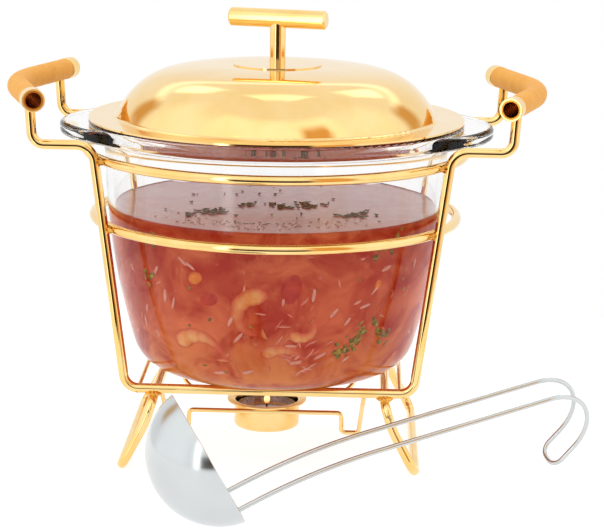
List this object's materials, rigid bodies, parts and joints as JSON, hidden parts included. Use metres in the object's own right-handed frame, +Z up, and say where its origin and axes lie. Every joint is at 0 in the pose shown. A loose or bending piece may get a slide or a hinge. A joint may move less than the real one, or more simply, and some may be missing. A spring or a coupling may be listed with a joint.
{
  "type": "soup tureen with warmer",
  "caption": "Glass soup tureen with a domed lid, in a bent-wire stand with side handles and a tealight warmer below, shown with its ladle.",
  "frame": {"origin": "on the table under the middle of the whole set's bounding box; the stand's upright axis is 15.8 mm to -X and 43.2 mm to +Y of it, because the ladle lies in front and reaches to the right", "axes": "+X to the right of somebody facing the front, along the line through the two side handles; +Y away from the front; +Z up"},
  "size_m": [0.3805, 0.339, 0.2897],
  "materials": {
    "gold_wire": "gold-plated steel wire, polished",
    "gold_sheet": "gold-plated sheet, mirror polished",
    "gold_fitting": "gold-plated steel, polished",
    "grip": "heat-proof sleeve in matt gold, satin",
    "bowl_glass": "clear heat-proof glass, polished",
    "foil": "thin drawn foil, satin",
    "wax": "dark red-brown wax",
    "wick": "burnt cotton",
    "tab_steel": "stamped steel",
    "stainless": "stainless steel, polished with a fine brushed grain"
  },
  "bodies": {
    "stand": {"front_frame_wire": "gold_wire", "back_frame_wire": "gold_wire", "upper_ring": "gold_wire", "lower_ring": "gold_wire", "left_leg_loop": "gold_wire", "right_leg_loop": "gold_wire", "left_side_bar": "gold_wire", "right_side_bar": "gold_wire", "front_carrier_wire": "gold_wire", "back_carrier_wire": "gold_wire", "left_handle_tube": "gold_fitting", "right_handle_tube": "gold_fitting", "left_grip": "grip", "right_grip": "grip", "front_left_ferrule": "gold_fitting", "back_left_ferrule": "gold_fitting", "front_right_ferrule": "gold_fitting", "back_right_ferrule": "gold_fitting"},
    "bowl": {"glass_bowl": "bowl_glass"},
    "lid": {"lid_shell": "gold_sheet", "lid_stem": "gold_fitting", "lid_crossbar": "gold_fitting", "lid_washer": "tab_steel", "lid_screw": "tab_steel"},
    "burner": {"burner_cup": "gold_sheet"},
    "tealight": {"tealight_shell": "foil", "tealight_wax": "wax", "wick": "wick", "wick_tab": "tab_steel"},
    "ladle": {"ladle_bowl": "stainless", "ladle_handle": "stainless"}
  },
  "joints": [
    {"name": "bowl_lift", "type": "slide", "parent": "stand", "child": "bowl", "axis": [0, 0, 1], "range_m": [0, 0.2]},
    {"name": "lid_lift", "type": "slide", "parent": "bowl", "child": "lid", "axis": [0, 0, 1], "range_m": [0, 0.12]},
    {"name": "burner_slide", "type": "slide", "parent": "stand", "child": "burner", "axis": [1, 0, 0], "range_m": [-0.015, 0.015]},
    {"name": "tealight_lift", "type": "slide", "parent": "burner", "child": "tealight", "axis": [0, 0, 1], "range_m": [0, 0.016]},
    {"name": "ladle_lift", "type": "slide", "parent": "stand", "child": "ladle", "axis": [0, -0.6, 0.8], "range_m": [0, 0.15]}
  ]
}
